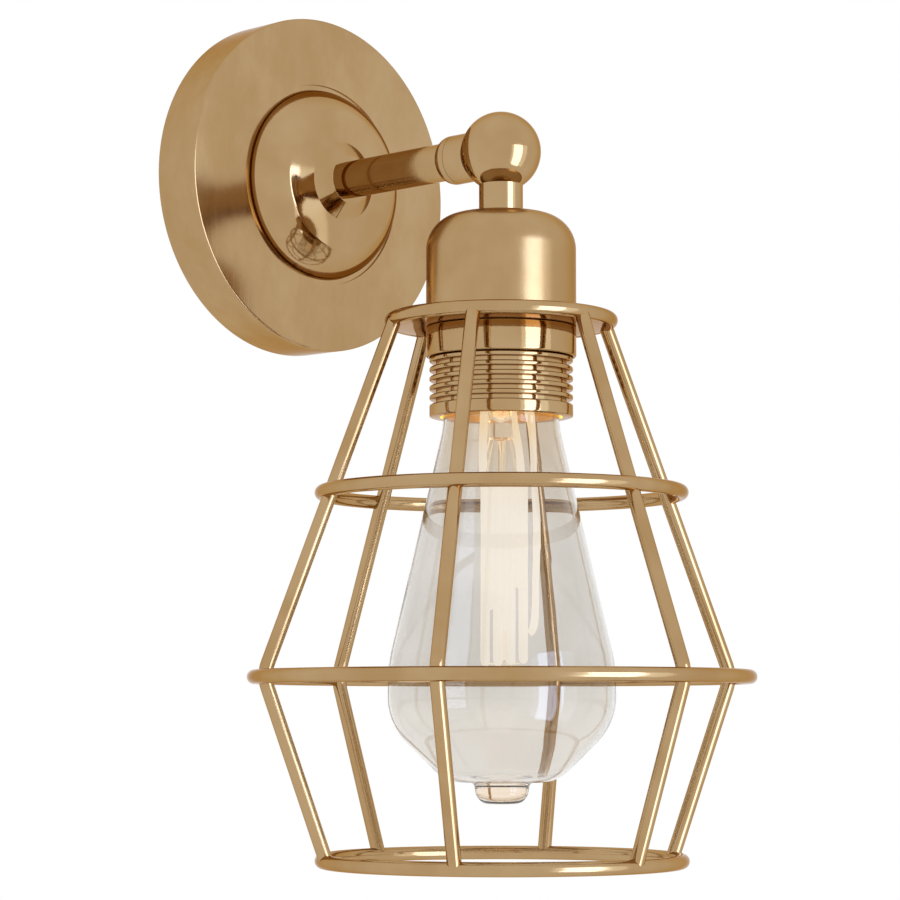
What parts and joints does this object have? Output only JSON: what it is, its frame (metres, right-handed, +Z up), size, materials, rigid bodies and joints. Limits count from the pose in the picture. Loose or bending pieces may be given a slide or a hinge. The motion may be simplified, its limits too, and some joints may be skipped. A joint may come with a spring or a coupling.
{
  "type": "cage wall light",
  "caption": "Wall light with a round stepped wall plate, short arm, swivelling ball knuckle, lampholder cup and open wire cage round a clear pear-shaped lamp.",
  "frame": {"origin": "middle of the wall fixing, on the face that lies on the wall, on the arm's line", "axes": "-Y points from the wall into the room along the arm, +Z up, +X to the right for someone facing the wall"},
  "size_m": [0.1426, 0.1628, 0.2525],
  "materials": {
    "polished_copper": "polished light copper plating on brass",
    "cage_copper": "polished light copper plating on steel",
    "satin_copper": "satin light copper plating on sheet steel",
    "zinc_steel": "bright zinc",
    "bare_brass": "bare",
    "white_nylon": "moulded",
    "white_ceramic": "fired, unglazed",
    "clear_glass": "clear",
    "black_glass": "opaque black insulator",
    "solder": "dull grey",
    "lamp_wire": "bare nickel wire",
    "glowing_filament": "soft filament, lit"
  },
  "bodies": {
    "wall_side": {"wall_bracket": "zinc_steel", "canopy": "satin_copper", "plate_screw": "zinc_steel", "plate_peg": "zinc_steel", "terminal_block": "white_nylon", "terminal_tubes": "bare_brass", "terminal_screws": "zinc_steel", "block_screw": "zinc_steel", "earth_washer": "zinc_steel", "earth_screw": "zinc_steel", "boss_dome": "polished_copper", "boss_hub": "polished_copper", "arm_tube": "polished_copper", "arm_ferrule": "polished_copper", "swivel_stop_screw": "zinc_steel", "stud_washer": "zinc_steel", "stud_nut": "zinc_steel"},
    "swivel": {"swivel_stem": "polished_copper", "swivel_collar": "polished_copper", "friction_washer": "zinc_steel", "spring_washer": "zinc_steel", "clamp_nut": "zinc_steel"},
    "lamp_head": {"knuckle_ball": "polished_copper", "neck_tube": "polished_copper", "socket_cup": "cage_copper", "holder_cap": "cage_copper", "holder_sleeve": "cage_copper", "socket_core": "white_ceramic", "screw_shell": "bare_brass", "middle_contact": "bare_brass", "core_terminal_plates": "bare_brass", "core_terminal_screws": "zinc_steel", "clamp_ring": "cage_copper", "cage_plate": "cage_copper", "cage_ring_top": "cage_copper", "cage_ring_upper": "cage_copper", "cage_ring_wide": "cage_copper", "cage_ring_bottom": "cage_copper", "cage_wire_1": "cage_copper", "cage_wire_2": "cage_copper", "cage_wire_3": "cage_copper", "cage_wire_4": "cage_copper", "cage_wire_5": "cage_copper", "cage_wire_6": "cage_copper"},
    "lamp_button": {"lamp_contact": "solder"},
    "lamp": {"lamp_envelope": "clear_glass", "lamp_cap": "bare_brass", "lamp_cap_insulator": "black_glass", "lamp_stem": "clear_glass", "filament": "glowing_filament", "filament_supports": "lamp_wire", "lead_wires": "lamp_wire"}
  },
  "joints": [
    {"name": "arm_swivel", "type": "hinge", "parent": "wall_side", "child": "swivel", "pos_m": [0, -0.0915, 0], "axis": [0, 1, 0], "range_deg": [-60, 60]},
    {"name": "head_tilt", "type": "hinge", "parent": "swivel", "child": "lamp_head", "pos_m": [0, -0.0915, 0], "axis": [-1, 0, 0], "range_deg": [-5, 55]},
    {"name": "lamp_travel", "type": "slide", "parent": "lamp_head", "child": "lamp_button", "axis": [0, 0, -1], "range_m": [0, 0.01815]},
    {"name": "lamp_turn", "type": "hinge", "parent": "lamp_button", "child": "lamp", "pos_m": [0, -0.0915, -0.1], "axis": [0, 0, -1], "range_deg": [0, 1800]}
  ],
  "couplings": [
    {"joint": "lamp_travel", "follows": "lamp_turn", "m_per_rad": 0.00057757}
  ]
}
